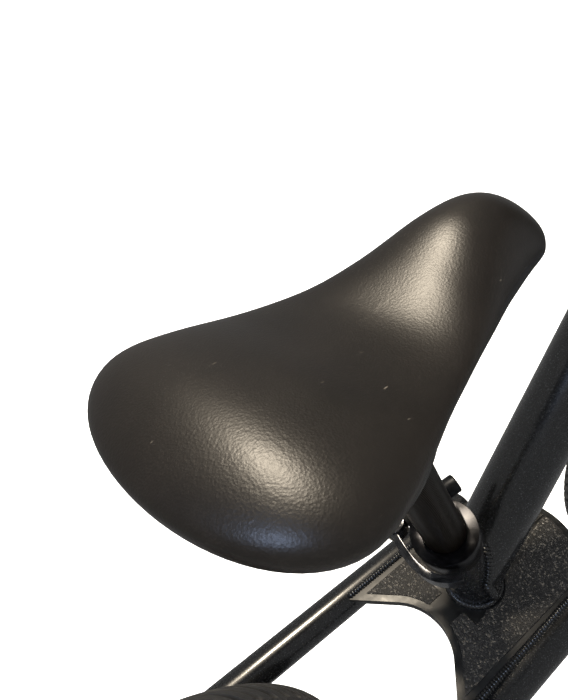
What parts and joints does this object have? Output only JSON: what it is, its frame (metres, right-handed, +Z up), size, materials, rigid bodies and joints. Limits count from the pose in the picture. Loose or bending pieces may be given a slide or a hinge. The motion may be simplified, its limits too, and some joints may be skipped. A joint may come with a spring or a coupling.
{
  "type": "bmx kick bike",
  "caption": "Small pedal-less BMX-style bike with padded saddle, quick-release seat clamp, gripped foot plate and spoked wheels with round tyres.",
  "frame": {"origin": "on the ground, midway between the two axles, in the bike's middle plane", "axes": "+X forward towards the front wheel, +Y to the rider's left, +Z up"},
  "size_m": [0.8738, 0.44, 0.6321],
  "materials": {
    "black_paint": "gloss black powder coat",
    "steel": "plain ground steel",
    "black_steel": "black oxide steel fasteners",
    "black_aluminium": "black anodised aluminium, satin to gloss",
    "post_aluminium": "black anodised aluminium with fine turned rings",
    "tyre": "black tyre rubber",
    "rubber": "black butyl rubber",
    "grip_rubber": "soft black moulded rubber",
    "brass": "nickel-plated brass",
    "grip_tape": "mineral-grit grip tape, black",
    "washer_plastic": "black nylon",
    "saddle_plastic": "black moulded polypropylene",
    "saddle_leatherette": "satin black leatherette with fine grain"
  },
  "bodies": {
    "frame": {"head_tube": "black_paint", "main_tube": "black_paint", "seat_tube": "black_paint", "foot_plate": "black_paint", "rail_left": "black_paint", "rail_right": "black_paint", "rear_dropouts": "black_paint", "frame_welds": "black_paint", "grip_tape": "grip_tape", "seat_collar": "black_aluminium", "clamp_skewer": "black_steel", "clamp_nut": "black_aluminium", "clamp_barrel": "black_steel", "cam_washer": "washer_plastic", "headset_bearings": "steel", "rear_axle": "steel", "rear_axle_nuts": "black_steel", "rear_axle_spacers": "steel"},
    "fork": {"fork_steerer": "steel", "fork_crown": "black_paint", "fork_leg_left": "black_paint", "fork_leg_right": "black_paint", "fork_dropouts": "black_paint", "crown_race": "steel", "headset_cover": "black_aluminium", "headset_spacer": "black_aluminium", "stem": "black_aluminium", "stem_faceplate": "black_aluminium", "stem_bolts": "black_steel", "stem_cap": "black_aluminium", "cap_bolt": "black_steel", "star_nut": "steel", "handlebar": "black_paint", "crossbar": "black_paint", "grip_left": "grip_rubber", "grip_right": "grip_rubber", "front_axle": "steel", "front_axle_nuts": "black_steel", "front_axle_spacers": "steel"},
    "front_wheel": {"front_tyre": "tyre", "front_inner_tube": "rubber", "front_rim": "black_aluminium", "front_hub": "black_aluminium", "front_wheel_bearings": "steel", "front_spokes": "steel", "front_nipples": "brass", "front_valve": "rubber"},
    "rear_wheel": {"rear_tyre": "tyre", "rear_inner_tube": "rubber", "rear_rim": "black_aluminium", "rear_hub": "black_aluminium", "rear_wheel_bearings": "steel", "rear_spokes": "steel", "rear_nipples": "brass", "rear_valve": "rubber"},
    "saddle": {"seat_post": "post_aluminium", "saddle_screws": "black_steel", "saddle_base": "saddle_plastic", "saddle_pad": "saddle_leatherette"},
    "clamp_lever": {"clamp_lever": "black_aluminium"}
  },
  "joints": [
    {"name": "steering", "type": "hinge", "parent": "frame", "child": "fork", "pos_m": [0.26791, 0, 0.14987], "axis": [-0.342, 0, 0.9397], "continuous": true},
    {"name": "front_wheel_spin", "type": "hinge", "parent": "fork", "child": "front_wheel", "pos_m": [0.282, 0, 0.155], "axis": [0, 1, 0], "continuous": true},
    {"name": "rear_wheel_spin", "type": "hinge", "parent": "frame", "child": "rear_wheel", "pos_m": [-0.282, 0, 0.155], "axis": [0, 1, 0], "continuous": true},
    {"name": "seat_height", "type": "slide", "parent": "frame", "child": "saddle", "axis": [-0.3007, 0, 0.9537], "range_m": [-0.075, 0.02]},
    {"name": "clamp_lever_turn", "type": "hinge", "parent": "frame", "child": "clamp_lever", "pos_m": [-0.0437, 0.02944, 0.2572], "axis": [0.3007, 0, -0.9537], "range_deg": [0, 165]}
  ]
}
